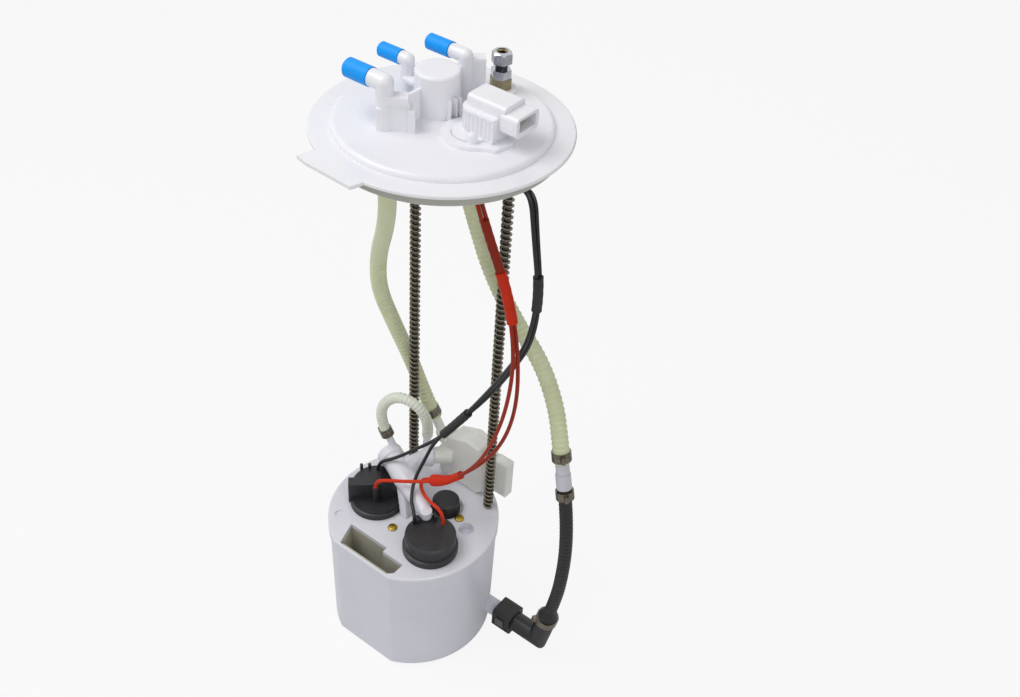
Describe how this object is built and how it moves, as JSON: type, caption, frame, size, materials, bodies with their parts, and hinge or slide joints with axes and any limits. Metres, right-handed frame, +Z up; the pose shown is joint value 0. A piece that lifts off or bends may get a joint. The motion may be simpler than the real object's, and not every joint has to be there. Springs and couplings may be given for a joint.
{
  "type": "fuel pump module",
  "caption": "Fuel delivery module: a tank flange on sprung guide rods above a white reservoir bucket with electric pumps, hoses and wiring.",
  "frame": {"origin": "centre of the bucket's bottom face, on the bucket's axis", "axes": "+Z up along the guide rods, -Y towards the bucket's flat side, +X towards the electrical connector's mouth and the bucket's spout"},
  "size_m": [0.188, 0.1584, 0.4666],
  "materials": {
    "white_plastic": "satin",
    "blue_plastic": "gloss",
    "black_plastic": "satin",
    "grey_plastic": "satin",
    "clear_plastic": "satin",
    "amber_hose": "satin",
    "black_hose": "satin",
    "rubber": "matte",
    "strainer_mesh": "matte",
    "spring_steel": "satin",
    "bright_steel": "brushed",
    "armature_core": "satin",
    "yellow_zinc": "satin",
    "tinned_brass": "satin",
    "zinc_plated": "bright",
    "red_insulation": "gloss",
    "black_insulation": "gloss"
  },
  "bodies": {
    "reservoir": {"black_hose": "black_hose", "black_sleeves": "black_insulation", "black_wire_front": "black_insulation", "black_wire_left": "black_insulation", "bucket": "white_plastic", "bucket_cover": "white_plastic", "coupler_clamp": "bright_steel", "cover_screws": "yellow_zinc", "cuff_clamp": "bright_steel", "filter_housing": "clear_plastic", "front_isolator": "rubber", "front_pump_can": "bright_steel", "front_pump_cap": "black_plastic", "front_strainer": "strainer_mesh", "hose_coupler": "white_plastic", "inlet_valve": "rubber", "left_hose": "amber_hose", "left_hose_clamp": "bright_steel", "left_isolator": "rubber", "left_pump_can": "bright_steel", "left_pump_cap": "black_plastic", "left_strainer": "strainer_mesh", "loop_hose": "amber_hose", "loop_hose_clamp": "bright_steel", "manifold": "clear_plastic", "pump_carrier": "white_plastic", "quick_connector": "black_plastic", "red_sleeves": "red_insulation", "red_wire_front": "red_insulation", "red_wire_left": "red_insulation", "relief_valve": "black_plastic", "right_hose": "amber_hose", "right_hose_clamp": "bright_steel", "spring_left": "spring_steel", "spring_right": "spring_steel"},
    "flange": {"tank_flange": "white_plastic", "connector_body": "white_plastic", "connector_terminals": "tinned_brass", "connector_seal": "rubber", "fitting_base": "tinned_brass", "fitting_nut": "zinc_plated", "fitting_neck": "zinc_plated", "fitting_head": "zinc_plated", "fitting_liner": "tinned_brass", "guide_rod_left": "bright_steel", "guide_rod_right": "bright_steel", "rod_clips": "spring_steel"},
    "cap_front": {"shipping_cap_front": "blue_plastic"},
    "cap_middle": {"shipping_cap_middle": "blue_plastic"},
    "cap_rear": {"shipping_cap_rear": "blue_plastic"},
    "front_rotor": {"front_armature": "armature_core", "front_impeller": "grey_plastic"},
    "left_rotor": {"left_armature": "armature_core", "left_impeller": "grey_plastic"},
    "button": {"release_button": "grey_plastic"}
  },
  "joints": [
    {"name": "flange_slide", "type": "slide", "parent": "reservoir", "child": "flange", "axis": [0, 0, -1], "range_m": [0, 0.05], "stiffness_N_per_m": 300, "springref_m": -0.05, "deforming": ["spring_left", "spring_right", "left_hose", "right_hose", "red_wire_left", "red_wire_front", "black_wire_left", "black_wire_front", "red_sleeves", "black_sleeves"]},
    {"name": "cap_front_pull", "type": "slide", "parent": "flange", "child": "cap_front", "axis": [-1, 0, 0], "range_m": [0, 0.03]},
    {"name": "cap_middle_pull", "type": "slide", "parent": "flange", "child": "cap_middle", "axis": [-1, 0, 0], "range_m": [0, 0.03]},
    {"name": "cap_rear_pull", "type": "slide", "parent": "flange", "child": "cap_rear", "axis": [-1, 0, 0], "range_m": [0, 0.03]},
    {"name": "front_pump_spin", "type": "hinge", "parent": "reservoir", "child": "front_rotor", "pos_m": [0.031, -0.018, 0.065], "axis": [0, 0, 1], "continuous": true},
    {"name": "left_pump_spin", "type": "hinge", "parent": "reservoir", "child": "left_rotor", "pos_m": [-0.0285, -0.0088, 0.065], "axis": [0, 0, 1], "continuous": true},
    {"name": "button_press", "type": "slide", "parent": "reservoir", "child": "button", "axis": [0, 1, 0], "range_m": [0, 0.0015], "stiffness_N_per_m": 500, "springref_m": -0.002}
  ]
}
